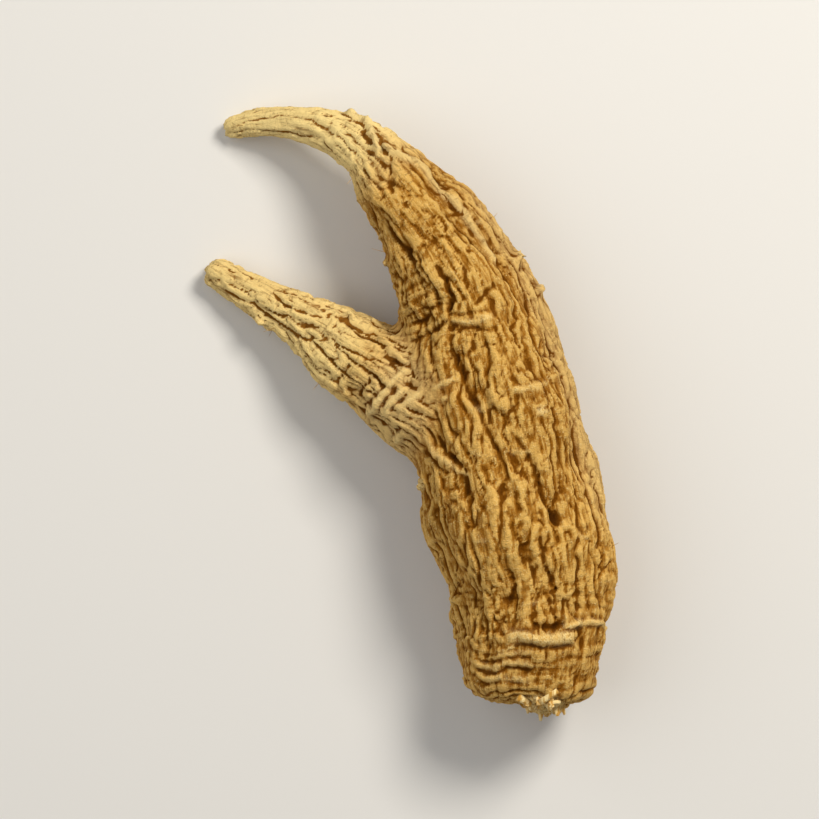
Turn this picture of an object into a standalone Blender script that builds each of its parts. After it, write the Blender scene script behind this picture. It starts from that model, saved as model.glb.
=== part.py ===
"""A dried ginseng root at its real size, lying as it rests on a table. Metres, +Z up.

It grew as one piece and is one solid: a stout body with its crown towards -Y, the broken
neck that the stem grew from, a side root towards -X, and a tail that curls away to -X too.
"""

from math import cos, exp, hypot, pi, radians, sin, sqrt

import bmesh
import bpy
import numpy as np
from mathutils import Vector, noise

MM = 0.001

# Each station is a point on a root's centre line and the half width there, in mm.
BODY_STATIONS = (
    (11.6, -28.0, 7.4, 6.0),
    (11.7, -25.2, 7.3, 6.7),
    (11.9, -21.2, 7.2, 7.6),
    (11.6, -17.0, 7.1, 7.9),
    (10.8, -12.2, 7.4, 8.5),
    (9.7, -7.0, 7.5, 8.6),
    (8.4, -1.2, 7.2, 8.2),
    (7.1, 5.0, 7.1, 7.4),
    (5.7, 10.4, 7.4, 6.6),
    (3.3, 15.0, 7.6, 5.8),
    (0.5, 19.1, 7.5, 4.7),
    (-2.3, 22.7, 6.9, 3.5),
    (-5.9, 25.5, 5.6, 2.3),
    (-10.2, 26.7, 3.7, 1.65),
    (-14.2, 26.9, 1.9, 1.4),
    (-17.3, 26.2, 0.8, 1.0),
)
SIDE_ROOT_STATIONS = (
    (8.8, -3.4, 7.4, 4.4),
    (4.8, -1.0, 7.1, 5.7),
    (0.4, 1.6, 6.3, 5.5),
    (-4.4, 4.5, 5.0, 4.3),
    (-9.2, 7.5, 3.6, 2.9),
    (-14.0, 10.3, 2.2, 2.0),
    (-18.8, 13.0, 1.2, 1.45),
)
NECK_STATIONS = (
    (12.4, -22.5, 7.6, 3.1),
    (13.2, -26.3, 8.1, 2.7),
    (13.5, -27.8, 8.4, 2.0),
    (13.7, -28.8, 8.6, 1.7),
)

# The length over which each end rounds off.
CROWN_ROUNDING = 2.2
TAIL_ROUNDING = 0.8
SIDE_ROOT_ROUNDING = 0.7
NECK_ROUNDING = 0.5

# A root is a little less tall than wide.
HEIGHT_SHARE = 0.93

# Corners round each root, and the steps between the rings of corners along it.
BODY_CORNERS = 56
SIDE_ROOT_CORNERS = 30
NECK_CORNERS = 16
CROWN_STEP = 0.62
PLAIN_STEP = 1.15
SHOULDER = 16.0

# Broad lumps, and furrows that wander along the root and meet.
LUMP_SIZE = 7.5
LUMP_HEIGHT = 0.9
FURROW_SPACING = 3.0
FURROW_STRETCH = 3.6
FURROW_SHARE = 0.36
FURROW_DEPTH = 0.52
FULL_DEPTH_AT = 5.0
BELLY_SHARE = 0.5

# Rings round the shoulder: how far each is from the crown, and its depth.
RINGS = ((2.9, 0.15), (5.0, 0.25), (7.2, 0.32), (9.9, 0.15), (13.2, 0.12))
RING_HALF_WIDTH = 0.55
RING_SWAY = 1.1

# Deep creases of the body, each from one place to another, with a depth and half width.
# A place is a distance from the crown and an angle: 0 is the right side, 90 the top.
CREASES = (
    (33.5, 112, 17.5, 68, 0.65, 0.75),
    (30.0, 148, 21.0, 122, 0.55, 0.7),
    (25.5, 98, 13.5, 90, 0.4, 0.7),
    (37.2, 96, 35.6, 160, 0.55, 0.6),
    (39.6, 92, 38.0, 150, 0.45, 0.6),
    (49.5, 52, 37.0, 44, 0.6, 0.7),
    (56.5, 66, 50.5, 110, 0.65, 0.7),
    (36.0, 20, 20.0, 36, 0.45, 0.7),
    (48.0, 140, 40.0, 120, 0.45, 0.7),
    (22.0, -30, 8.0, -12, 0.4, 0.8),
    (34.0, 205, 18.0, 215, 0.45, 0.8),
    (16.5, 148, 8.5, 132, 0.3, 0.7),
)
CREASE_SWAY = 0.9
CREASE_SWAY_SIZE = 4.0

# Stubs of rootlets: a distance along the root, an angle, how far out and how wide.
STUB_CORNERS = 7
STUB_SUNK = 1.4
STUB_FLARE = 2.1
STUB_LEAN = 0.35
BODY_STUBS = (
    (40.3, 14, 0.7, 0.6),
    (37.6, 3, 0.6, 0.55),
    (29.6, 118, 0.35, 0.5),
    (22.6, 166, 0.7, 0.75),
    (26.6, 60, 0.3, 0.5),
    (18.5, -16, 0.5, 0.5),
    (10.5, 168, 0.5, 0.5),
    (45.5, 172, 0.6, 0.5),
    (54.0, 60, 0.5, 0.4),
)
SIDE_ROOT_STUBS = (
    (18.0, 40, 0.5, 0.45),
    (25.5, 150, 0.5, 0.4),
)

SKIN_COLOUR = (0.43, 0.22, 0.05, 1.0)
SKIN_ROUGHNESS = 0.78
SHARP_FROM = radians(60)


class Line:
    """A smooth line through stations, read by its distance from the first one, in mm."""

    def __init__(self, stations, parts=24):
        known = np.array(stations, float)
        known = np.vstack([2 * known[0] - known[1], known, 2 * known[-1] - known[-2]])
        points = []
        for a, b, c, d in zip(known, known[1:], known[2:], known[3:]):
            for t in np.arange(parts) / parts:
                straight = 0.5 * t * (c - a)
                bend = 0.5 * t**2 * (2 * a - 5 * b + 4 * c - d)
                twist = 0.5 * t**3 * (3 * b - a - 3 * c + d)
                points.append(b + straight + bend + twist)
        self.points = np.array(points + [known[-2]])
        steps = np.linalg.norm(np.diff(self.points[:, :3], axis=0), axis=1)
        self.distances = np.concatenate([[0.0], np.cumsum(steps)])
        self.length = float(self.distances[-1])

    def at(self, distance):
        """The centre and the half width at this distance."""
        found = [np.interp(distance, self.distances, column) for column in self.points.T]
        return Vector(found[:3]), float(found[3])

    def frame_at(self, distance, reach=0.4):
        """The directions ahead, sideways and up at this distance."""
        ahead = self.at(distance + reach)[0] - self.at(distance - reach)[0]
        ahead.normalize()
        side = ahead.cross(Vector((0, 0, 1))).normalized()
        return ahead, side, side.cross(ahead)


def clear_scene():
    for thing in list(bpy.data.objects):
        bpy.data.objects.remove(thing, do_unlink=True)


def rounded_end(half_width, distance, rounding):
    """The half width this far from an end that rounds off over the length given."""
    rounding = min(rounding, half_width)
    if distance >= rounding:
        return half_width
    return half_width - rounding + sqrt(rounding**2 - (rounding - distance) ** 2)


def furrows(spot):
    """Narrow valleys between rounded ridges, stretched along the root."""
    grain = Vector((spot.x, spot.y, spot.z / FURROW_STRETCH)) / FURROW_SPACING
    height = abs(noise.noise(grain))
    return FURROW_DEPTH * (1 - min(height / FURROW_SHARE, 1)) ** 2


def rings(distance, angle):
    """The rings of the shoulder, each swaying a little as it goes round."""
    total = 0.0
    for number, (place, depth) in enumerate(RINGS):
        sway = RING_SWAY * noise.noise(Vector((cos(angle), sin(angle), 3.0 * number)))
        total += depth * exp(-(((distance - place - sway) / RING_HALF_WIDTH) ** 2))
    return total


def creases(half_width, distance, angle, spot):
    """The deep creases, as waving lines drawn on the unrolled skin."""
    sway = CREASE_SWAY * noise.noise(spot / CREASE_SWAY_SIZE)
    total = 0.0
    for s0, a0, s1, a1, depth, crease_half_width in CREASES:
        middle = radians(0.5 * (a0 + a1))
        turn = (angle - middle + pi) % (2 * pi) - pi
        across = turn * half_width + sway
        along = distance - 0.5 * (s0 + s1) + sway
        run = s1 - s0
        rise = radians(a1 - a0) * half_width
        size = hypot(run, rise)
        beside = (along * rise - across * run) / size
        beyond = max(abs(along * run + across * rise) / size - 0.5 * size, 0.0)
        away = hypot(beside, beyond) / crease_half_width
        total += depth * exp(-(away**2))
    return total


def relief(half_width, distance, angle, is_body):
    """How far the skin stands out from a plain tube, in mm."""
    spot = Vector((half_width * cos(angle), half_width * sin(angle), distance))
    height = LUMP_HEIGHT * noise.noise(spot / LUMP_SIZE) - furrows(spot)
    if is_body:
        height -= rings(distance, angle)
        height -= creases(half_width, distance, angle, spot)
    pressed = 1 - BELLY_SHARE * max(-sin(angle), 0.0) ** 2
    return height * pressed * min(half_width / FULL_DEPTH_AT, 1.0)


def skin_point(line, distance, angle, roundings, is_body):
    """The point of a root's skin at this distance and angle, in mm."""
    centre, half_width = line.at(distance)
    _, side, up = line.frame_at(distance)
    plain = min(
        rounded_end(half_width, distance, roundings[0]),
        rounded_end(half_width, line.length - distance, roundings[1]),
    )
    out = plain * (1 + relief(half_width, distance, angle, is_body) / half_width)
    return centre + side * (out * cos(angle)) + up * (out * sin(angle) * HEIGHT_SHARE)


def ring_distances(length):
    """Where the rings of corners go: close at the crown, wider apart past the shoulder."""
    places = [0.0]
    while True:
        share = min(places[-1] / SHOULDER, 1.0)
        step = CROWN_STEP + (PLAIN_STEP - CROWN_STEP) * share
        left = length - places[-1]
        if left < CROWN_STEP:
            return places + [length]
        places.append(places[-1] + min(step, 0.6 * left))


def close_ends(mesh):
    """Fills each open rim and fans the fill out from its middle."""
    rims = [edge for edge in mesh.edges if edge.is_boundary]
    ends = bmesh.ops.holes_fill(mesh, edges=rims, sides=0)["faces"]
    bmesh.ops.poke(mesh, faces=ends)
    bmesh.ops.recalc_face_normals(mesh, faces=mesh.faces)


def add_object(name, mesh):
    data = bpy.data.meshes.new(name)
    mesh.to_mesh(data)
    mesh.free()
    thing = bpy.data.objects.new(name, data)
    bpy.context.scene.collection.objects.link(thing)
    return thing


def grow_root(name, line, corners, roundings, is_body=False):
    """A grid rolled into a tapering tube round the line, and closed at both ends."""
    distances = ring_distances(line.length)
    last = len(distances) - 1
    mesh = bmesh.new()
    bmesh.ops.create_grid(mesh, x_segments=corners, y_segments=last, size=0.5)
    for corner in mesh.verts:
        around = round((corner.co.x + 0.5) * corners) % corners
        along = round((corner.co.y + 0.5) * last)
        angle = 2 * pi * around / corners
        corner.co = skin_point(line, distances[along], angle, roundings, is_body) * MM
    bmesh.ops.remove_doubles(mesh, verts=mesh.verts, dist=1e-7)
    close_ends(mesh)
    return add_object(name, mesh)


def grow_stub(name, line, distance, degrees, length, half_width, roundings, is_body):
    """The stub of a rootlet: a blunt cone with its foot sunk well into the root."""
    angle = radians(degrees)
    centre = line.at(distance)[0]
    ahead = line.frame_at(distance)[0]
    foot = skin_point(line, distance, angle, roundings, is_body)
    out = ((foot - centre).normalized() + STUB_LEAN * ahead).normalized()
    mesh = bmesh.new()
    bmesh.ops.create_cone(
        mesh,
        cap_ends=True,
        segments=STUB_CORNERS,
        radius1=half_width * STUB_FLARE * MM,
        radius2=half_width * MM,
        depth=(length + STUB_SUNK) * MM,
    )
    middle = (foot + out * 0.5 * (length - STUB_SUNK)) * MM
    turned = out.to_track_quat("Z", "Y")
    for corner in mesh.verts:
        corner.co = turned @ corner.co + middle
    return add_object(name, mesh)


def join(thing, others):
    """One Boolean union of a collection into the thing, which then loses the rest."""
    group = bpy.data.collections.new("joined")
    bpy.context.scene.collection.children.link(group)
    for other in others:
        group.objects.link(other)
    union = thing.modifiers.new("Joined", "BOOLEAN")
    union.operation = "UNION"
    union.solver = "EXACT"
    union.operand_type = "COLLECTION"
    union.collection = group
    bpy.context.view_layer.objects.active = thing
    bpy.ops.object.modifier_apply(modifier=union.name)
    for other in others:
        bpy.data.objects.remove(other, do_unlink=True)
    bpy.data.collections.remove(group)


def lay_down(thing):
    """Cuts the belly flat where it lies, and centres the box over the origin."""
    mesh = bmesh.new()
    mesh.from_mesh(thing.data)
    everything = list(mesh.verts) + list(mesh.edges) + list(mesh.faces)
    cut = bmesh.ops.bisect_plane(
        mesh,
        geom=everything,
        plane_co=(0, 0, 0),
        plane_no=(0, 0, 1),
        clear_inner=True,
    )
    rims = [part for part in cut["geom_cut"] if isinstance(part, bmesh.types.BMEdge)]
    bmesh.ops.holes_fill(mesh, edges=rims, sides=0)
    bmesh.ops.dissolve_degenerate(mesh, edges=mesh.edges, dist=1e-6)
    bmesh.ops.triangulate(mesh, faces=mesh.faces)
    bmesh.ops.recalc_face_normals(mesh, faces=mesh.faces)
    across = [corner.co.x for corner in mesh.verts]
    along = [corner.co.y for corner in mesh.verts]
    middle = Vector((min(across) + max(across), min(along) + max(along), 0)) / 2
    bmesh.ops.translate(mesh, verts=mesh.verts, vec=-middle)
    mesh.to_mesh(thing.data)
    mesh.free()


def finish(thing):
    thing.data.shade_smooth()
    thing.data.set_sharp_from_angle(angle=SHARP_FROM)
    skin = bpy.data.materials.new("dried_root_skin")
    skin.use_nodes = True
    shader = skin.node_tree.nodes["Principled BSDF"]
    shader.inputs["Base Color"].default_value = SKIN_COLOUR
    shader.inputs["Roughness"].default_value = SKIN_ROUGHNESS
    shader.inputs["Metallic"].default_value = 0.0
    thing.data.materials.clear()
    thing.data.materials.append(skin)


clear_scene()
body_line = Line(BODY_STATIONS)
side_root_line = Line(SIDE_ROOT_STATIONS)
body_ends = (CROWN_ROUNDING, TAIL_ROUNDING)
side_root_ends = (0.0, SIDE_ROOT_ROUNDING)

root = grow_root("ginseng_root", body_line, BODY_CORNERS, body_ends, is_body=True)
branches = [
    grow_root("side_root", side_root_line, SIDE_ROOT_CORNERS, side_root_ends),
    grow_root("neck", Line(NECK_STATIONS), NECK_CORNERS, (0.0, NECK_ROUNDING)),
]
for stub in BODY_STUBS:
    branches.append(grow_stub("stub", body_line, *stub, body_ends, True))
for stub in SIDE_ROOT_STUBS:
    branches.append(grow_stub("stub", side_root_line, *stub, side_root_ends, False))
join(root, branches)
lay_down(root)
finish(root)
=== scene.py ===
"""A dried ginseng root on a pale table, seen from straight above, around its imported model."""

from math import pi, radians, tau

import bpy
import numpy as np
from mathutils import Matrix, Vector, noise


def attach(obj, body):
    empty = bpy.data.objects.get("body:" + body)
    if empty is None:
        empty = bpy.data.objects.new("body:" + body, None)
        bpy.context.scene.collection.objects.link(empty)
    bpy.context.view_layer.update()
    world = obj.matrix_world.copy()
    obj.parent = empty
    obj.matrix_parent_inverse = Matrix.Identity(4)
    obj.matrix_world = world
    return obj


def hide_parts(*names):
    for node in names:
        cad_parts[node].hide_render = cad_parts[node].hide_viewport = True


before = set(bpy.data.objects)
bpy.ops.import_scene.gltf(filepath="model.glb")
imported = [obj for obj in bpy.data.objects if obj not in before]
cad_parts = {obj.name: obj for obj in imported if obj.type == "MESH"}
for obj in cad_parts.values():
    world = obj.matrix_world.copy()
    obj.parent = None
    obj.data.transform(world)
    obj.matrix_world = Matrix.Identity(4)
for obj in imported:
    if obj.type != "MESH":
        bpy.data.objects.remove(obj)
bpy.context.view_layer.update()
MM = 0.001

# Camera.
# It looks straight down on the root through a long lens, with the crown at the bottom of
# the picture and the tail at the top left. The root fills about three quarters of it.
CAMERA_HEIGHT = 0.46
CAMERA_LENS = 212.0

bpy.ops.object.select_all(action="DESELECT")
bpy.ops.object.camera_add(location=(0, 0, CAMERA_HEIGHT), rotation=(0, 0, 0))
camera = bpy.context.object
camera.name = "camera"
camera.data.lens = CAMERA_LENS
camera.data.clip_start = 0.01
bpy.context.scene.camera = camera

# Table.
# A plain pale board, wide enough to run out of every view, with a matt finish.
TABLE_SIZE = 4.0
TABLE_COLOUR = (0.74, 0.73, 0.71, 1.0)
TABLE_ROUGHNESS = 0.85
TABLE_SPECULAR = 0.15

bpy.ops.object.select_all(action="DESELECT")
bpy.ops.mesh.primitive_plane_add(size=TABLE_SIZE, location=(0, 0, 0))
table = bpy.context.object
table.name = "table"
table_finish = bpy.data.materials.new("pale_table")
table_finish.use_nodes = True
table_shader = table_finish.node_tree.nodes["Principled BSDF"]
table_shader.inputs["Base Color"].default_value = TABLE_COLOUR
table_shader.inputs["Roughness"].default_value = TABLE_ROUGHNESS
table_shader.inputs["Specular IOR Level"].default_value = TABLE_SPECULAR
table.data.materials.append(table_finish)

# Light.
# One soft lamp to the upper right of the picture draws the ridges out, a wide dim one to
# the left and a pale room all round keep the shaded side readable.
KEY_PLACE = (0.18, 0.20, 0.30)
KEY_SIZE = 0.13
KEY_POWER = 1.44
KEY_COLOUR = (1.0, 0.95, 0.86)
FILL_PLACE = (-0.30, 0.06, 0.38)
FILL_SIZE = 0.5
FILL_POWER = 0.85
FILL_COLOUR = (1.0, 0.99, 0.97)
ROOM_COLOUR = (1.0, 0.98, 0.95, 1.0)
ROOM_STRENGTH = 0.24


def add_lamp(name, place, size, power, colour):
    """A square soft lamp that faces the middle of the root."""
    bpy.ops.object.select_all(action="DESELECT")
    bpy.ops.object.light_add(type="AREA", location=place)
    lamp = bpy.context.object
    lamp.name = name
    lamp.data.size = size
    lamp.data.energy = power
    lamp.data.color = colour
    lamp.rotation_euler = (-Vector(place)).to_track_quat("-Z", "Y").to_euler()
    return lamp


add_lamp("key_lamp", KEY_PLACE, KEY_SIZE, KEY_POWER, KEY_COLOUR)
add_lamp("fill_lamp", FILL_PLACE, FILL_SIZE, FILL_POWER, FILL_COLOUR)
room = bpy.data.worlds.new("pale_room")
room.use_nodes = True
room.node_tree.nodes["Background"].inputs["Color"].default_value = ROOM_COLOUR
room.node_tree.nodes["Background"].inputs["Strength"].default_value = ROOM_STRENGTH
bpy.context.scene.world = room
bpy.context.scene.view_settings.view_transform = "Standard"

# Root: its form.
# One solid dried root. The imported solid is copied, its facets are melted into a fine even
# skin, and what lies on the table stays flat.
SKIN_STEP = 0.22 * MM
WELD_UNDER = 0.001 * MM
MELT_SHARE = 0.5
MELT_ROUNDS = 10
FLAT_UNDER = 0.03 * MM

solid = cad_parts["ginseng_root"]
root = bpy.data.objects.new("dried_root", solid.data.copy())
bpy.context.scene.collection.objects.link(root)
bpy.ops.object.select_all(action="DESELECT")
root.select_set(True)
bpy.context.view_layer.objects.active = root
bpy.ops.object.mode_set(mode="EDIT")
bpy.ops.mesh.select_all(action="SELECT")
bpy.ops.mesh.remove_doubles(threshold=WELD_UNDER)
bpy.ops.object.mode_set(mode="OBJECT")
remesh = root.modifiers.new("Skin", "REMESH")
remesh.mode = "VOXEL"
remesh.voxel_size = SKIN_STEP
bpy.ops.object.modifier_apply(modifier=remesh.name)
free = root.vertex_groups.new(name="free")
free.add([v.index for v in root.data.vertices if v.co.z > FLAT_UNDER], 1.0, "REPLACE")
melt = root.modifiers.new("Melt", "SMOOTH")
melt.factor = MELT_SHARE
melt.iterations = MELT_ROUNDS
melt.vertex_group = free.name
bpy.ops.object.modifier_apply(modifier=melt.name)
root.vertex_groups.clear()

# Root: its grain.
# Each point of the skin learns how far along its root it lies and where round it, from the
# middle lines that the root grew on: x, y, z and half width in mm, from the crown.
BOX_MIDDLE = (0.346, -0.417)
BODY_LINE = (
    (11.6, -28.0, 7.4, 6.0),
    (11.7, -25.2, 7.3, 6.7),
    (11.9, -21.2, 7.2, 7.6),
    (11.6, -17.0, 7.1, 7.9),
    (10.8, -12.2, 7.4, 8.5),
    (9.7, -7.0, 7.5, 8.6),
    (8.4, -1.2, 7.2, 8.2),
    (7.1, 5.0, 7.1, 7.4),
    (5.7, 10.4, 7.4, 6.6),
    (3.3, 15.0, 7.6, 5.8),
    (0.5, 19.1, 7.5, 4.7),
    (-2.3, 22.7, 6.9, 3.5),
    (-5.9, 25.5, 5.6, 2.3),
    (-10.2, 26.7, 3.7, 1.65),
    (-14.2, 26.9, 1.9, 1.4),
    (-17.3, 26.2, 0.8, 1.0),
)
SIDE_ROOT_LINE = (
    (8.8, -3.4, 7.4, 4.4),
    (4.8, -1.0, 7.1, 5.7),
    (0.4, 1.6, 6.3, 5.5),
    (-4.4, 4.5, 5.0, 4.3),
    (-9.2, 7.5, 3.6, 2.9),
    (-14.0, 10.3, 2.2, 2.0),
    (-18.8, 13.0, 1.2, 1.45),
)
LINE_PARTS = 60
JOIN_BLEND = 0.6
JOIN_MELT = 0.30
JOIN_ROUNDS = 60
SIDE_ROOT_BURIED = (4.0, 6.0)
GRAIN_GIRTH = 1.9
GRAIN_TAPER = 0.70
END_FACE = 0.85
SIDE_GRAIN_SHIFT = (40.0, 0.0, 0.0)


def smooth_line(stations):
    """Points and half widths on a smooth line through the stations, in mm, with distances."""
    known = np.array(stations, float)
    known[:, :2] -= BOX_MIDDLE
    known = np.vstack([2 * known[0] - known[1], known, 2 * known[-1] - known[-2]])
    points = []
    for a, b, c, d in zip(known, known[1:], known[2:], known[3:]):
        for t in np.arange(LINE_PARTS) / LINE_PARTS:
            straight = 0.5 * t * (c - a)
            bend = 0.5 * t**2 * (2 * a - 5 * b + 4 * c - d)
            twist = 0.5 * t**3 * (3 * b - a - 3 * c + d)
            points.append(b + straight + bend + twist)
    points = np.array(points + [known[-2]])
    steps = np.linalg.norm(np.diff(points[:, :3], axis=0), axis=1)
    return points, np.concatenate([[0.0], np.cumsum(steps)])


def read_grain(places, stations):
    """For each place: distance along the line, angle round it, half width, how far out."""
    points, distances = smooth_line(stations)
    nearest = np.empty(len(places), int)
    for start in range(0, len(places), 4000):
        part = places[start : start + 4000, None, :] - points[None, :, :3]
        nearest[start : start + 4000] = (part**2).sum(axis=2).argmin(axis=1)
    ahead = np.gradient(points[:, :3], axis=0)
    ahead /= np.linalg.norm(ahead, axis=1)[:, None]
    side = np.cross(ahead, (0.0, 0.0, 1.0))
    side /= np.linalg.norm(side, axis=1)[:, None]
    up = np.cross(side, ahead)
    away = places - points[nearest, :3]
    along = distances[nearest] + (away * ahead[nearest]).sum(axis=1)
    across = (away * side[nearest]).sum(axis=1)
    above = (away * up[nearest]).sum(axis=1)
    half = np.interp(along, distances, points[:, 3])
    return along, np.arctan2(above, across), half, np.hypot(across, above) / half


def read_vertices(name, width):
    values = np.empty(len(root.data.vertices) * width, np.float32)
    root.data.vertices.foreach_get(name, values)
    return values.reshape(-1, width).astype(float)


def spread(values, edges, rounds):
    """Each point's value evened out with its neighbours' that many times."""
    count = np.bincount(edges.ravel(), minlength=len(values)) + 1
    for _ in range(rounds):
        total = values.copy()
        for column in range(values.shape[1]):
            for here, there in ((0, 1), (1, 0)):
                total[:, column] += np.bincount(
                    edges[:, here], values[edges[:, there], column], len(values)
                )
        values = total / count[:, None]
    return values


def rise(values, low, high):
    """0 up to low, then a smooth rise to 1 at high."""
    share = np.clip((values - low) / (high - low), 0, 1)
    return share * share * (3 - 2 * share)


def between(values, start, full, fade, end):
    """1 from full to fade, and nothing before start or after end."""
    return rise(values, start, full) * (1 - rise(values, fade, end))


edges = np.empty(len(root.data.edges) * 2, np.int32)
root.data.edges.foreach_get("vertices", edges)
edges = edges.reshape(-1, 2)
places = read_vertices("co", 3) / MM
body_along, body_angle, body_half, body_out = read_grain(places, BODY_LINE)
side_along, side_angle, side_half, side_out = read_grain(places, SIDE_ROOT_LINE)
lead = body_out - side_out
clear_of_body = rise(side_along, *SIDE_ROOT_BURIED)
on_side_root = rise(lead, -JOIN_BLEND / 2, JOIN_BLEND / 2) * clear_of_body
seam = np.exp(-((lead / JOIN_MELT) ** 2)) * clear_of_body * rise(places[:, 2], 0.5, 2.0)
places += (spread(places, edges, JOIN_ROUNDS) - places) * seam[:, None]


def straightened(along, angle, half, out):
    """The skin as if its root were a rod along z, in mm, with thin ends drawn a little fat."""
    girth = GRAIN_GIRTH * half**GRAIN_TAPER * np.clip(out / END_FACE, 0, 1)
    return np.column_stack([girth * np.cos(angle), girth * np.sin(angle), along])


body_grain = straightened(body_along, body_angle, body_half, body_out)
side_grain = straightened(side_along, side_angle, side_half, side_out) + SIDE_GRAIN_SHIFT

# Root: its wrinkles.
# Drying shrinks the flesh under the bark, which falls into furrows along the root, finer
# ones between them, rings round the shoulder and small cracks across the ridges.
FURROWS = ((2.1, 3.6, 0.30, 0.30), (1.1, 3.4, 0.22, 0.34), (0.55, 3.2, 0.09, 0.42))
FURROW_SHARPNESS = 1.6
WAVERS = ((3.0, 0.55), (1.1, 0.36))
CROSS_SIZE = (1.9, 0.48)
CROSS_DEPTH = 0.10
CROSS_SHARE = 0.35
PATCH_SIZE = 4.5
PATCH_CONTRAST = 2.2
THIN_UNDER = 2.6
THIN_LEAST = 0.75
RING_ZONE = 14.0
RING_SPACING = 1.1
RING_DEPTH = 0.25
RING_SHARE = 0.35
RING_SWAY = 1.4
RING_SWAY_SIZE = 6.0
RING_WOBBLE = 0.35
CROWN_CALM = (2.5, 7.5, 0.55)
SIDE_ROOT_DEEPER = 1.3
BEND_ZONE = (35.0, 37.0, 43.0, 46.0)
BEND_SIDE = (150, 55)
BEND_SPACING = 0.75
BEND_DEPTH = 0.14
PLUMP = 0.12
WAVER_SEED = 11

noise.seed_set(WAVER_SEED)


def noise_at(spots):
    return np.array([noise.noise(spot) for spot in spots.tolist()])


def wavering(grain):
    """The grain pushed about a little, so that no furrow runs straight."""
    for size, push in WAVERS:
        pushed = [noise.noise_vector(spot) for spot in (grain / size).tolist()]
        grain = grain + push * np.array(pushed) * (1.0, 1.0, 2.0)
    return grain


def valleys(grain, size, stretch, share):
    """One at the bottom of a furrow, falling to nothing on the ridges beside it."""
    height = np.abs(noise_at(grain / size / (1.0, 1.0, stretch)))
    return (1 - np.clip(height / share, 0, 1)) ** FURROW_SHARPNESS


def wrinkles(grain, half):
    """How deep the skin lies under the tops of its ridges, in mm."""
    swayed = wavering(grain)
    depth = np.zeros(len(grain))
    for size, stretch, deep, share in FURROWS:
        depth += deep * valleys(swayed, size, stretch, share)
    patches = np.clip(0.5 + PATCH_CONTRAST * noise_at(grain / PATCH_SIZE), 0, 1)
    width, length = CROSS_SIZE
    depth += CROSS_DEPTH * patches * valleys(swayed, width, length / width, CROSS_SHARE)
    return depth * np.clip(half / THIN_UNDER, THIN_LEAST, 1.0)


def cross_rings(along, angle):
    """Fine uneven rings that crowd towards the crown, and some on the inside of the bend."""
    round_it = np.column_stack([np.cos(angle), np.sin(angle), along / RING_SWAY_SIZE])
    sway = noise_at(round_it) + RING_WOBBLE * noise_at(4 * round_it)
    near_crown = np.clip(1 - along / RING_ZONE, 0, 1)
    ring = (along + RING_SWAY * sway) / RING_SPACING
    spots = np.column_stack([np.zeros_like(ring), np.full_like(ring, 7.0), ring])
    depth = RING_DEPTH * near_crown * valleys(spots, 1.0, 1.0, RING_SHARE)
    middle, reach = (radians(degrees) for degrees in BEND_SIDE)
    inside = rise(np.cos(angle - middle), np.cos(reach), 0.95) * between(along, *BEND_ZONE)
    spots[:, 2] = (along + sway) / BEND_SPACING
    return depth + BEND_DEPTH * inside * valleys(spots, 1.0, 1.0, RING_SHARE)


# Root: its marks.
# The single creases, ridges and pale healed bars that this root is known by. Each runs from
# one distance along and angle round to another, so deep or high and so wide, in mm.
BODY_CREASES = (
    (33.5, 112, 25.4, 98, 0.28, 0.28),
    (25.4, 98, 18.6, 88, 0.26, 0.26),
    (24.5, 80, 17.0, 64, 0.26, 0.25),
    (26.6, 142, 25.1, 139, 0.28, 0.24),
    (25.1, 139, 23.6, 128, 0.30, 0.24),
    (25.3, 156, 23.0, 138, 0.32, 0.26),
    (16.0, 79, 12.0, 75, 0.36, 0.28),
    (15.5, 104, 12.6, 103, 0.34, 0.26),
    (13.5, 136, 10.3, 132, 0.32, 0.26),
    (9.8, 66, 7.4, 70, 0.28, 0.22),
    (7.35, 88, 7.35, 66, 0.38, 0.20),
    (5.5, 76, 5.7, 57, 0.28, 0.20),
    (5.5, 108, 5.4, 84, 0.22, 0.20),
    (4.75, 138, 4.85, 116, 0.18, 0.17),
    (3.95, 139, 4.1, 118, 0.20, 0.17),
    (4.15, 110, 4.3, 92, 0.17, 0.16),
    (2.95, 141, 3.2, 92, 0.19, 0.17),
    (1.7, 138, 1.8, 119, 0.20, 0.18),
    (36.0, 20, 20.0, 36, 0.20, 0.28),
    (48.0, 140, 40.0, 120, 0.20, 0.28),
    (38.0, 84, 38.9, 62, 0.26, 0.24),
    (38.1, 112, 37.3, 76, 0.18, 0.20),
    (36.4, 108, 35.7, 76, 0.20, 0.22),
    (42.6, 104, 38.8, 113, 0.36, 0.28),
    (46.5, 66, 41.4, 55, 0.42, 0.30),
    (51.2, 40, 48.2, 35, 0.34, 0.28),
    (59.4, 14, 55.4, 76, 0.28, 0.28),
    (57.4, 84, 53.2, 96, 0.36, 0.30),
    (55.0, 98, 52.6, 116, 0.34, 0.28),
    (52.6, 116, 50.6, 92, 0.24, 0.26),
    (56.4, 40, 53.6, 68, 0.34, 0.28),
    (37.2, 118, 35.6, 160, 0.28, 0.26),
    (39.6, 122, 38.0, 150, 0.25, 0.26),
)
BODY_RIDGES = (
    (53.8, 61, 51.2, 49, 0.42, 0.45),
    (51.2, 49, 47.2, 45, 0.45, 0.45),
    (47.2, 45, 41.0, 47, 0.40, 0.42),
    (58.5, 12, 54.5, 72, 0.62, 0.38),
    (26.8, 151, 25.3, 147, 0.22, 0.24),
    (25.3, 147, 23.1, 131, 0.26, 0.24),
    (23.1, 131, 22.6, 124, 0.20, 0.22),
)
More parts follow.
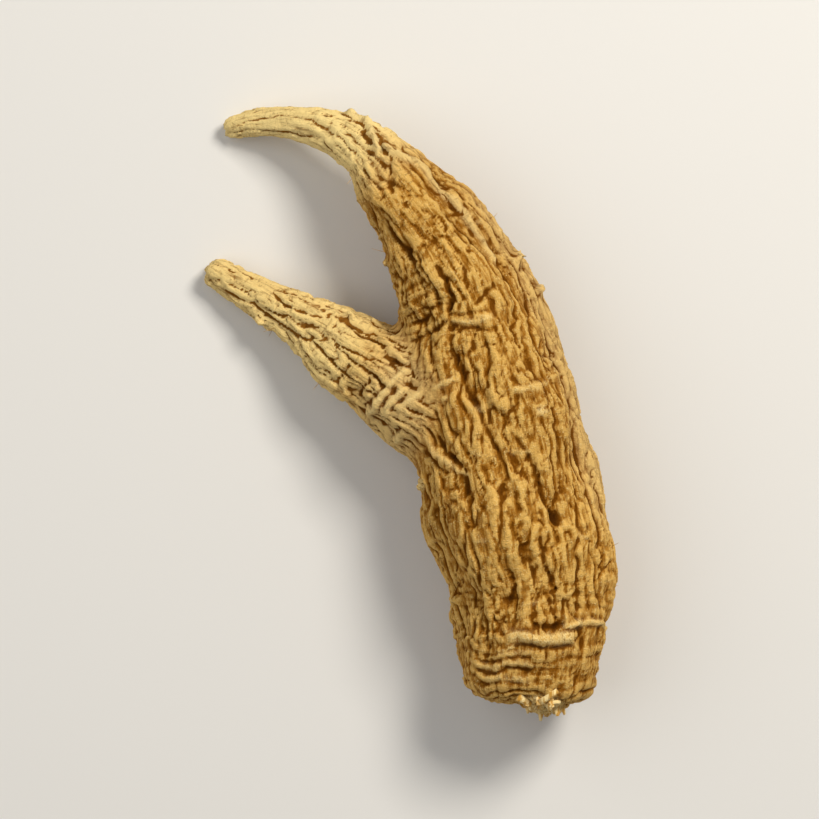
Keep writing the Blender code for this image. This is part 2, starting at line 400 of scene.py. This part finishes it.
BODY_BARS = (
    (6.3, 107, 6.2, 84, 0.26, 0.44),
    (6.2, 82, 6.3, 59, 0.30, 0.38),
    (7.35, 64, 7.6, 40, 0.26, 0.26),
    (7.6, 40, 7.3, 12, 0.22, 0.24),
    (29.0, 71, 29.3, 55, 0.16, 0.26),
    (31.2, 136, 31.6, 119, 0.16, 0.26),
    (29.7, 127, 29.7, 125, 0.16, 0.30),
    (4.55, 126, 4.75, 92, 0.11, 0.22),
    (3.4, 140, 3.55, 121, 0.12, 0.24),
    (3.6, 114, 3.75, 92, 0.13, 0.22),
    (2.35, 137, 2.45, 118, 0.12, 0.26),
    (2.2, 112, 2.25, 96, 0.12, 0.28),
    (37.4, 110, 36.7, 92, 0.14, 0.26),
    (36.7, 92, 36.7, 74, 0.16, 0.24),
)
SIDE_ROOT_BARS = (
    (11.3, 156, 10.9, 102, 0.24, 0.29),
    (10.8, 98, 10.2, 74, 0.17, 0.22),
    (10.2, 138, 9.6, 97, 0.20, 0.25),
    (8.9, 114, 7.9, 88, 0.17, 0.25),
    (8.1, 158, 8.0, 152, 0.38, 0.42),
)
SIDE_ROOT_CREASES = (
    (10.75, 132, 10.3, 102, 0.16, 0.17),
    (9.75, 126, 9.2, 106, 0.18, 0.17),
    (8.8, 149, 8.6, 141, 0.40, 0.26),
    (11.9, 146, 11.5, 110, 0.20, 0.20),
    (13.1, 138, 12.7, 104, 0.20, 0.18),
    (15.3, 110, 15.8, 143, 0.28, 0.24),
)
BAR_FRAY = 0.40
BAR_FRAY_SIZE = 0.8
BAR_CALM = 0.45
BAR_CALM_OVER = 0.2
CALM_WIDTH = 0.75
CALM_SHARE = 0.6
MARK_SWAYS = ((0.7, 3.5), (0.22, 0.9))
CHANCE_BARS = 30
CHANCE_REACH = (2, 8)
CHANCE_LEAN = (-0.25, 0.25)
CHANCE_HEIGHT = (0.05, 0.13)
CHANCE_WIDTH = (0.14, 0.22)
CHANCE_PITS = 18
PIT_RADIUS = (0.20, 0.40)
PIT_DEPTH = 0.26
PIT_RIM = 0.06


def marks(grain, along, angle, half, table):
    """How high each point stands, in mm, on waving lines with these heights and widths."""
    sway = sum(push * noise_at(grain / size) for push, size in MARK_SWAYS)
    total = np.zeros(len(grain))
    for s0, a0, s1, a1, high, wide in table:
        middle = radians(0.5 * (a0 + a1))
        across = ((angle - middle + pi) % tau - pi) * half + sway
        ahead = along - 0.5 * (s0 + s1) + sway
        run = s1 - s0
        turn = radians(a1 - a0) * half
        size = np.hypot(run, turn) + 1e-6
        beside = (ahead * turn - across * run) / size
        beyond = np.maximum(np.abs(ahead * run + across * turn) / size - 0.5 * size, 0)
        total = np.maximum(total, high * np.exp(-(beside**2 + beyond**2) / wide**2))
    return total


def calm_round(spots, table):
    """How far the furrows die down beside the bars of the table."""
    return CALM_SHARE * marks(*spots, [(*row[:4], 1.0, CALM_WIDTH) for row in table])


def chance_bars(length, chance):
    """Short raised bars strewn over the body, where the bark healed across its grain."""
    rows = []
    for _ in range(CHANCE_BARS):
        place = chance.uniform(1.0, length - 5.0)
        middle = chance.uniform(-30, 210)
        reach = chance.uniform(*CHANCE_REACH)
        lean = chance.uniform(*CHANCE_LEAN)
        high = chance.uniform(*CHANCE_HEIGHT)
        wide = chance.uniform(*CHANCE_WIDTH)
        rows.append((place - lean, middle - reach, place + lean, middle + reach, high, wide))
    return tuple(rows)


def pit_depth(along, angle, half, length, chance):
    """Small round scars of lost rootlets: a dent with a low rim."""
    total = np.zeros(len(along))
    for _ in range(CHANCE_PITS):
        place = chance.uniform(3.0, length - 4.0)
        middle = chance.uniform(-pi / 6, 7 * pi / 6)
        radius = chance.uniform(*PIT_RADIUS)
        across = ((angle - middle + pi) % tau - pi) * half
        away = np.hypot(along - place, across) / radius
        rim = np.exp(-(((away - 1.7) / 0.5) ** 2))
        total += PIT_DEPTH * np.exp(-(away**2)) - PIT_RIM * rim
    return total


chance = np.random.default_rng(11)
body_length = smooth_line(BODY_LINE)[1][-1]
side_length = smooth_line(SIDE_ROOT_LINE)[1][-1]
body_spots = (body_grain, body_along, body_angle, body_half)
side_spots = (side_grain, side_along, side_angle, side_half)
strewn_bars = chance_bars(body_length, chance)
body_bars = marks(*body_spots, BODY_BARS + strewn_bars)
side_bars = marks(*side_spots, SIDE_ROOT_BARS)
bars = body_bars + (side_bars - body_bars) * on_side_root
bars *= 1 + BAR_FRAY * np.clip(2.5 * noise_at(places / BAR_FRAY_SIZE), -1, 1)
calm_from, calm_to, calm_share = CROWN_CALM
crown_calm = calm_share * (1 - rise(body_along, calm_from, calm_to))
body_depth = wrinkles(body_grain, body_half) * (1 - calm_round(body_spots, BODY_BARS))
body_depth *= 1 - crown_calm
from_rim = body_half * np.clip(1 - body_out / END_FACE, 0, 1)
body_depth += cross_rings(body_along - from_rim, body_angle)
body_depth += pit_depth(body_along, body_angle, body_half, body_length, chance)
body_creases = marks(*body_spots, BODY_CREASES)
body_ridges = marks(*body_spots, BODY_RIDGES)
body_depth += body_creases - body_ridges
side_depth = SIDE_ROOT_DEEPER * wrinkles(side_grain, side_half)
side_depth *= 1 - calm_round(side_spots, SIDE_ROOT_BARS)
side_creases = marks(*side_spots, SIDE_ROOT_CREASES)
side_depth += side_creases
depth = body_depth + (side_depth - body_depth) * on_side_root
depth = depth * (1 - BAR_CALM * np.clip(bars / BAR_CALM_OVER, 0, 1)) - bars

# Root: its ends.
# The neck, the side root, the tail and the stubs of rootlets are all snapped off: rough,
# fibrous and paler, with a dent in the neck where the stem stood and a torn scar round it.
NECK_END = (13.5, -28.6, 8.6)
NECK_DENT = 0.5
NECK_DENT_RADIUS = 0.9
NECK_CALM = 0.6
NECK_FIBRE = (0.38, 1.6, 0.38)
SCAR_MIDDLE = (12.4, 9.4)
SCAR_REACH = (2.3, 3.9)
SCAR_FROM = (26.3, 27.1)
SCAR_ROUGHNESS = 0.45
END_REACH = 0.5
END_ROUGHNESS = 0.34
END_GRAIN = 0.45
LIFT_OVER = 0.6
STUBS = (
    (40.3, 14, 0.6),
    (37.6, 3, 0.55),
    (29.6, 118, 0.5),
    (22.6, 166, 0.75),
    (26.6, 60, 0.5),
    (18.5, -16, 0.5),
    (10.5, 168, 0.5),
    (45.5, 172, 0.5),
    (54.0, 60, 0.4),
)

neck_middle = np.array(NECK_END) - (*BOX_MIDDLE, 0.0)
from_neck = np.hypot(places[:, 0] - neck_middle[0], places[:, 2] - neck_middle[2])
scar_place = (places[:, [0, 2]] - SCAR_MIDDLE) / SCAR_REACH
neck = rise(-places[:, 1], *SCAR_FROM) * (1 - rise(np.hypot(*scar_place.T), 0.75, 1.0))
side_end = rise(side_along, side_length - END_REACH, side_length) * on_side_root
tail_end = rise(body_along, body_length - END_REACH, body_length) * (1 - on_side_root)
stub_tops = np.zeros(len(places))
for place, degrees, radius in STUBS:
    across = ((body_angle - radians(degrees) + pi) % tau - pi) * body_half
    away = np.hypot(body_along - place, across) / radius
    stub_tops = np.maximum(stub_tops, np.exp(-(away**4)) * (body_out > 0.98))
ends = np.maximum(np.maximum(neck, side_end), tail_end)
splinters = noise_at(places / END_GRAIN) + noise_at(places / NECK_FIBRE)
roughness = END_ROUGHNESS + (SCAR_ROUGHNESS - END_ROUGHNESS) * neck
depth = depth * (1 - NECK_CALM * neck) + (ends + stub_tops) * splinters * roughness
depth += neck * NECK_DENT * np.exp(-((from_neck / NECK_DENT_RADIUS) ** 2))


def read_normals():
    return read_vertices("normal", 3)


normals = read_normals()
lifted = np.clip(places[:, 2] / LIFT_OVER, 0, 1)
places -= normals * ((depth - PLUMP) * lifted)[:, None]
places[:, 2] = np.maximum(places[:, 2], 0.0)
root.data.vertices.foreach_set("co", (places * MM).astype(np.float32).ravel())
root.data.update()

# Root: what its bark shows.
# The colour follows the form, so each point learns how deep it lies and whether it is a bar, a crease or a
# broken end. The thin ends and folds are paler and the crown darker. Painted shade darkens the flanks and
# the creases, and, with the bark's own brown, the furrows and hollows; painted highlight and painted light
# pale the lit right rim and the foot of the side root.
NEAR_ROUNDS = 8
WIDE_ROUNDS = 45
BAR_HEIGHT = 0.22
FOLD_HEIGHT = 0.35
TAIL_ZONE = (50, 57)
SIDE_ROOT_ZONE = (11, 18)
SIDE_ROOT_PALE = 0.8
# The foot of the side root is painted paler: painted light where the body shades it.
FOOT_ZONE = (4, 7, 11, 15)
FOOT_PAINTED_LIGHT = 0.9
# The pale band on the right rim is a painted highlight.
RIM_ZONE = (13, 20, 43, 50)
RIM_PAINTED_HIGHLIGHT = 0.6
# LEFT_ZONE and RIGHT_ZONE hold the painted shade on the body's flanks.
LEFT_ZONE = (8, 20, 48, 56)
RIGHT_ZONE = (16, 24, 48, 56)
CROWN_ZONE = (4, 12)
CROWN_OCHRE = 0.8


def add_attribute(name, kind, values):
    data = root.data.attributes.new(name, kind, "POINT").data
    data.foreach_set("vector" if kind == "FLOAT_VECTOR" else "value", values.ravel())


normals = read_normals()
near = spread(places, edges, NEAR_ROUNDS)
wide = spread(near, edges, WIDE_ROUNDS)
add_attribute("grain", "FLOAT_VECTOR", body_grain)
add_attribute("side_grain", "FLOAT_VECTOR", side_grain)
add_attribute("on_side_root", "FLOAT", on_side_root)
# The bark darkens where furrow and dip are deep, partly its own brown and partly painted shade in the
# hollows.
add_attribute("furrow", "FLOAT", ((near - places) * normals).sum(axis=1))
add_attribute("dip", "FLOAT", ((wide - places) * normals).sum(axis=1))
thin = rise(body_along, *TAIL_ZONE)
thin += (SIDE_ROOT_PALE * rise(side_along, *SIDE_ROOT_ZONE) - thin) * on_side_root
add_attribute("thin", "FLOAT", thin)
add_attribute("bare", "FLOAT", np.maximum(ends, stub_tops))
add_attribute("bar", "FLOAT", np.clip(bars / BAR_HEIGHT, 0, 1))
# The creases are darkened in the colour with painted shade.
creases = body_creases + (side_creases - body_creases) * on_side_root
add_attribute("crease", "FLOAT", np.clip(creases / FOLD_HEIGHT, 0, 1))
# Painted light on the foot of the side root, which the body shades.
painted_foot_light = FOOT_PAINTED_LIGHT * between(side_along, *FOOT_ZONE)
sideways = np.cos(body_angle)
# Painted highlight: a pale band along the lit right edge of the body.
rim = rise(sideways, 0.75, 0.95) * between(body_along, *RIM_ZONE)
ridge_and_painted_light = np.maximum(np.clip(body_ridges / FOLD_HEIGHT, 0, 1), RIM_PAINTED_HIGHLIGHT * rim)
add_attribute("ridge_and_painted_light", "FLOAT", ridge_and_painted_light + (painted_foot_light - ridge_and_painted_light) * on_side_root)
# Painted shade: both flanks of the body are darkened towards ochre and brown as shaded sides; the crown
# end is darker as well.
painted_flank_shade_and_crown = rise(-sideways, 0.0, 1.0) * between(body_along, *LEFT_ZONE)
painted_flank_shade_and_crown += rise(sideways, 0.1, 0.6) * between(body_along, *RIGHT_ZONE)
painted_flank_shade_and_crown += CROWN_OCHRE * (1 - rise(body_along, *CROWN_ZONE))
add_attribute("painted_flank_shade_and_crown", "FLOAT", painted_flank_shade_and_crown * (1 - rise(side_along, 5, 12) * on_side_root))
bpy.ops.object.shade_smooth()

# Root: its bark.
# Matt, dusty, corky bark: straw coloured on the ridges, tan on their flanks and brown down in the furrows,
# with fine streaks along the grain and pale broken ends. The ridge tops are paler partly with painted
# highlight, the furrows and hollows darker partly with painted shade, and the creases darker with painted
# shade.
BARK_TAN = (0.46, 0.208, 0.029, 1.0)
BARK_OCHRE = (0.34, 0.135, 0.012, 1.0)
BARK_STRAW = (0.80, 0.49, 0.132, 1.0)
BARK_BROWN = (0.160, 0.050, 0.0015, 1.0)
BARK_DEEP_AND_PAINTED_SHADE = (0.050, 0.014, 0.0008, 1.0)
BARK_DUST_AND_PAINTED_LIGHT = (0.92, 0.70, 0.31, 1.0)
BARK_CHALK = (1.0, 0.765, 0.32, 1.0)
BARE_CREAM = (0.90, 0.68, 0.30, 1.0)
BARK_GLOW = (1.0, 0.80, 0.45, 1.0)
STREAK_STRETCH = (1.0, 1.0, 0.16)
CRACK_STRETCH = (0.30, 0.30, 1.0)
BARK_RELIEF = 0.16 * MM
BARK_SPECULAR = 0.07


def add_node(tree, kind, feeds, **settings):
    """Adds a shader node, makes its settings, and feeds its inputs with values or sockets."""
    node = tree.nodes.new(f"ShaderNode{kind}")
    for name, value in settings.items():
        setattr(node, name, value)
    for name, value in feeds.items():
        if isinstance(value, bpy.types.NodeSocket):
            tree.links.new(value, node.inputs[name])
        else:
            node.inputs[name].default_value = value
    return node


def blend_colours(tree, share, first, second):
    """The first colour where share is 0 and the second where it is 1."""
    feeds = {0: share, 6: first, 7: second}
    return add_node(tree, "Mix", feeds, data_type="RGBA").outputs[2]


def step_between(tree, value, low, high, most=1.0):
    """0 below low, then a smooth rise to most at high."""
    feeds = {"Value": value, "From Min": low, "From Max": high, "To Max": most}
    node = add_node(tree, "MapRange", feeds, interpolation_type="SMOOTHSTEP")
    return node.outputs["Result"]


def times(tree, first, second):
    return add_node(tree, "Math", {0: first, 1: second}, operation="MULTIPLY").outputs[0]


def noise_of(tree, vector, stretch, scale, detail=3.0, roughness=0.55):
    stretched = add_node(tree, "VectorMath", {0: vector, 1: stretch}, operation="MULTIPLY")
    feeds = {"Vector": stretched.outputs[0], "Scale": scale, "Detail": detail, "Roughness": roughness}
    return add_node(tree, "TexNoise", feeds).outputs["Fac"]


dry_grain = bpy.data.node_groups.new("dry_grain", "ShaderNodeTree")
dry_grain.interface.new_socket("Vector", in_out="INPUT", socket_type="NodeSocketVector")
for name in ("Streak", "Crack", "Grit", "Blotch"):
    dry_grain.interface.new_socket(name, in_out="OUTPUT", socket_type="NodeSocketFloat")
vector = dry_grain.nodes.new("NodeGroupInput").outputs["Vector"]
given = dry_grain.nodes.new("NodeGroupOutput")
even = (1.0, 1.0, 1.0)
patterns = {
    "Streak": noise_of(dry_grain, vector, STREAK_STRETCH, 2.4, 6.0, 0.62),
    "Crack": noise_of(dry_grain, vector, CRACK_STRETCH, 2.6, 4.0, 0.6),
    "Grit": noise_of(dry_grain, vector, even, 6.5, 3.0, 0.6),
    "Blotch": noise_of(dry_grain, vector, even, 0.17, 3.0, 0.5),
}
for name, value in patterns.items():
    dry_grain.links.new(value, given.inputs[name])

bark = bpy.data.materials.new("dried_root_bark")
bark.use_nodes = True
tree = bark.node_tree
reads = {
    name: add_node(tree, "Attribute", {}, attribute_name=name).outputs["Fac"]
    for name in ("furrow", "dip", "thin", "bare", "bar", "crease", "ridge_and_painted_light", "painted_flank_shade_and_crown", "on_side_root")
}
furrow, dip, thin, bare, bar, crease, ridge_and_painted_light, painted_flank_shade_and_crown, side_share = reads.values()
sides = []
for name in ("grain", "side_grain"):
    grain_at = add_node(tree, "Attribute", {}, attribute_name=name).outputs["Vector"]
    sides.append(add_node(tree, "Group", {"Vector": grain_at}, node_tree=dry_grain))
streak, crack, grit, blotch = (
    add_node(tree, "Mix", {0: side_share, 2: sides[0].outputs[name], 3: sides[1].outputs[name]}).outputs[0]
    for name in ("Streak", "Crack", "Grit", "Blotch")
)

pale = blend_colours(tree, thin, BARK_STRAW, BARK_CHALK)
dark = blend_colours(tree, times(tree, thin, 0.6), BARK_BROWN, BARK_OCHRE)
worn = step_between(tree, grit, 0.34, 0.60)
fleck = times(tree, step_between(tree, grit, 0.56, 0.68), step_between(tree, furrow, 0.03, -0.04))
layers = (
    (step_between(tree, blotch, 0.40, 0.62), BARK_OCHRE),
    # Painted shade on the flanks, and the darker crown end.
    (times(tree, painted_flank_shade_and_crown, 0.6), BARK_OCHRE),
    (times(tree, thin, 0.9), BARK_CHALK),
    (step_between(tree, streak, 0.46, 0.64, 0.8), pale),
    # Ridge tops paler: partly the bark's own colour, partly painted highlight.
    (step_between(tree, furrow, 0.0, -0.08, 0.85), pale),
    # Pale folds, with the painted highlight on the right rim and the painted light on the side root's
    # foot.
    (times(tree, ridge_and_painted_light, 0.55), BARK_DUST_AND_PAINTED_LIGHT),
    (step_between(tree, crack, 0.44, 0.33, 0.4), dark),
    (step_between(tree, streak, 0.47, 0.33, 0.6), dark),
    # Furrows and broad hollows darker, partly the bark's own brown and partly painted shade; creases
    # darker with painted shade.
    (step_between(tree, furrow, 0.012, 0.09, 0.97), dark),
    (step_between(tree, dip, 0.16, 0.5, 0.9), BARK_DEEP_AND_PAINTED_SHADE),
    (times(tree, crease, 0.22), BARK_DEEP_AND_PAINTED_SHADE),
    # More painted shade on the flanks.
    (times(tree, painted_flank_shade_and_crown, 0.15), BARK_BROWN),
    (times(tree, fleck, 0.55), BARK_DUST_AND_PAINTED_LIGHT),
    (times(tree, times(tree, bar, worn), 0.75), BARK_DUST_AND_PAINTED_LIGHT),
    (times(tree, times(tree, bare, worn), 0.9), BARE_CREAM),
)
colour = BARK_TAN
for share, layer in layers:
    colour = blend_colours(tree, share, colour, layer)
height = add_node(tree, "Math", {0: streak, 1: grit}, operation="ADD").outputs[0]
height = add_node(tree, "Math", {0: height, 1: crack}, operation="ADD").outputs[0]
relief = add_node(tree, "Bump", {"Height": height, "Distance": BARK_RELIEF, "Strength": 1.0})
rough = add_node(tree, "MapRange", {"Value": grit, "To Min": 0.65, "To Max": 0.92})
shader = tree.nodes["Principled BSDF"]
shader.inputs["Specular IOR Level"].default_value = BARK_SPECULAR
shader.inputs["Specular Tint"].default_value = BARK_GLOW
tree.links.new(colour, shader.inputs["Base Color"])
tree.links.new(rough.outputs["Result"], shader.inputs["Roughness"])
tree.links.new(relief.outputs["Normal"], shader.inputs["Normal"])
root.data.materials.clear()
root.data.materials.append(bark)
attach(root, "root")
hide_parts("ginseng_root")

# Rootlet hairs.
# A few fine dry rootlets are left on the bark, most of them at its thin ends. Each is a
# tapered thread that is rooted in the bark and bends down along it.
HAIR_COUNT = 28
HAIR_LENGTH = (0.5, 1.7)
HAIR_THICKNESS = 0.07
HAIR_SUNK = 0.12
HAIR_LEAN = (0.5, 1.6)
HAIR_STRAW = (0.72, 0.47, 0.16, 1.0)
HAIR_BROWN = (0.38, 0.19, 0.04, 1.0)


def fibre_finish(name, pale, dark):
    """Dry woody fibre, streaked along the root and gritty, from pale to dark."""
    finish = bpy.data.materials.new(name)
    finish.use_nodes = True
    tree = finish.node_tree
    spot = add_node(tree, "TexCoord", {}).outputs["Object"]
    turned = {"Vector": spot, "Rotation": (pi / 2, 0.0, 0.0), "Scale": (1 / MM,) * 3}
    spot = add_node(tree, "Mapping", turned).outputs["Vector"]
    grain = add_node(tree, "Group", {"Vector": spot}, node_tree=dry_grain).outputs
    share = step_between(tree, grain["Streak"], 0.40, 0.58)
    colour = blend_colours(tree, share, dark, pale)
    relief = {"Height": grain["Grit"], "Distance": BARK_RELIEF / 2, "Strength": 1.0}
    relief = add_node(tree, "Bump", relief).outputs["Normal"]
    shader = tree.nodes["Principled BSDF"]
    shader.inputs["Roughness"].default_value = 0.75
    shader.inputs["Specular IOR Level"].default_value = 0.12
    tree.links.new(colour, shader.inputs["Base Color"])
    tree.links.new(relief, shader.inputs["Normal"])
    return finish


def plant(model, place, ahead, stretch):
    """A copy of the model, in mm, stood on the place and stretched along its own axes."""
    copy = model.copy()
    copy.data = model.data.copy()
    bpy.context.scene.collection.objects.link(copy)
    turned = ahead.to_track_quat("Z", "X").to_matrix().to_4x4()
    sized = Matrix.Diagonal((*stretch, 1.0))
    copy.data.transform(Matrix.Scale(MM, 4) @ Matrix.Translation(place) @ turned @ sized)
    return copy


def join_copies(name, copies, model):
    """All the copies as one piece that rides the root, with the model taken away."""
    bpy.data.objects.remove(model)
    bpy.ops.object.select_all(action="DESELECT")
    for copy in copies:
        copy.select_set(True)
    bpy.context.view_layer.objects.active = copies[0]
    bpy.ops.object.join()
    piece = bpy.context.object
    piece.name = name
    bpy.ops.object.shade_smooth()
    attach(piece, "root")


bpy.ops.object.select_all(action="DESELECT")
bpy.ops.curve.primitive_bezier_curve_add()
thread = bpy.context.object
thread.data.resolution_u = 5
thread.data.bevel_depth = HAIR_THICKNESS / 2
thread.data.bevel_resolution = 1
thread.data.use_fill_caps = True
base, tip = thread.data.splines[0].bezier_points
base.co, base.handle_left, base.handle_right = (0, 0, 0), (0, 0, -0.3), (0, 0, 0.35)
tip.co, tip.handle_left, tip.handle_right = (0.45, 0, 0.85), (0.2, 0, 0.75), (0.7, 0, 0.95)
tip.radius = 0.25
bpy.ops.object.convert(target="MESH")
thread = bpy.context.object
thread.data.materials.append(fibre_finish("rootlet_straw", HAIR_STRAW, HAIR_BROWN))
normals = read_normals()
upper = np.flatnonzero((places[:, 2] > 2.5) & (normals[:, 2] > -0.3))
weight = 0.25 + rise(body_along[upper], 30, 60) + on_side_root[upper] * rise(side_along[upper], 10, 26)
hairs = []
for spot in chance.choice(upper, HAIR_COUNT, replace=False, p=weight / weight.sum()):
    out = Vector(normals[spot])
    sideways = out.cross(Vector(chance.normal(size=3))).normalized()
    ahead = (out + sideways * chance.uniform(*HAIR_LEAN)).normalized()
    length = chance.uniform(*HAIR_LENGTH)
    hairs.append(plant(thread, Vector(places[spot]) - out * HAIR_SUNK, ahead, (length, 1.0, length)))
join_copies("rootlet_hairs", hairs, thread)

# Torn fibres.
# The stem broke off at the neck and left a ragged pale scar. Strips of bark lie over its top,
# two of them like a V, and woody chips stand out all over it, each sunk into the crown.
STRIPS = (
    (10.1, -26.7, -33, 2.0, 0.85),
    (12.0, -27.3, 38, 2.1, 0.80),
    (12.9, -27.3, 8, 1.1, 0.60),
    (11.0, -27.4, -60, 0.9, 0.55),
)
STRIP_THICKNESS = 0.34
STRIP_SUNK = 0.10
CHIP_COUNT = 30
CHIP_LENGTH = (0.55, 1.15)
CHIP_WIDTH = (0.35, 0.85)
CHIP_THICKNESS = (0.15, 0.34)
CHIP_SUNK = 0.32
CHIP_RAGGED = (0.45, 0.15)
TORN_CREAM = (0.98, 0.76, 0.36, 1.0)
TORN_TAN = (0.58, 0.30, 0.05, 1.0)


def top_of_skin(x, y):
    """The highest point of the root's skin near this place, in mm."""
    near = np.hypot(places[:, 0] - x, places[:, 1] - y) < 0.3
    return Vector((x, y, places[near, 2].max()))


bpy.ops.object.select_all(action="DESELECT")
bpy.ops.mesh.primitive_cone_add(vertices=7, radius1=0.5, radius2=0.22, depth=1.0, location=(0, 0, 0.5))
bpy.ops.object.mode_set(mode="EDIT")
bpy.ops.mesh.subdivide(number_cuts=2)
bpy.ops.object.mode_set(mode="OBJECT")
bpy.ops.object.transform_apply(location=True, rotation=True, scale=True)
splinter = bpy.context.object
splinter.data.materials.append(fibre_finish("torn_fibre", TORN_CREAM, TORN_TAN))
chips = []
for x, y, heading, length, width in STRIPS:
    run = Vector((np.cos(radians(heading)), np.sin(radians(heading)), 0)) * length
    start, middle, end = (top_of_skin(x + run.x * t, y + run.y * t) for t in (0, 0.5, 1))
    stretch = (STRIP_THICKNESS, width, (end - start).length)
    bulge = max(middle.z - (start.z + end.z) / 2, 0)
    strip_place = start + Vector((0, 0, bulge - STRIP_SUNK))
    chips.append(plant(splinter, strip_place, end - start, stretch))
scar = np.flatnonzero((neck > 0.5) & (normals[:, 1] < -0.15) & (places[:, 2] > 6.5))
for spot in chance.choice(scar, CHIP_COUNT, replace=False):
    wild = Vector(chance.normal(size=3))
    ahead = (Vector(normals[spot]) * 0.7 + Vector((0, -0.4, 0.1)) + wild * 0.3).normalized()
    stretch = [chance.uniform(*size) for size in (CHIP_THICKNESS, CHIP_WIDTH, CHIP_LENGTH)]
    chips.append(plant(splinter, Vector(places[spot]) - ahead * CHIP_SUNK, ahead, stretch))
size, push = CHIP_RAGGED
for chip in chips:
    for corner in chip.data.vertices:
        corner.co += noise.noise_vector(corner.co / (size * MM)) * push * MM
join_copies("torn_fibres", chips, splinter)
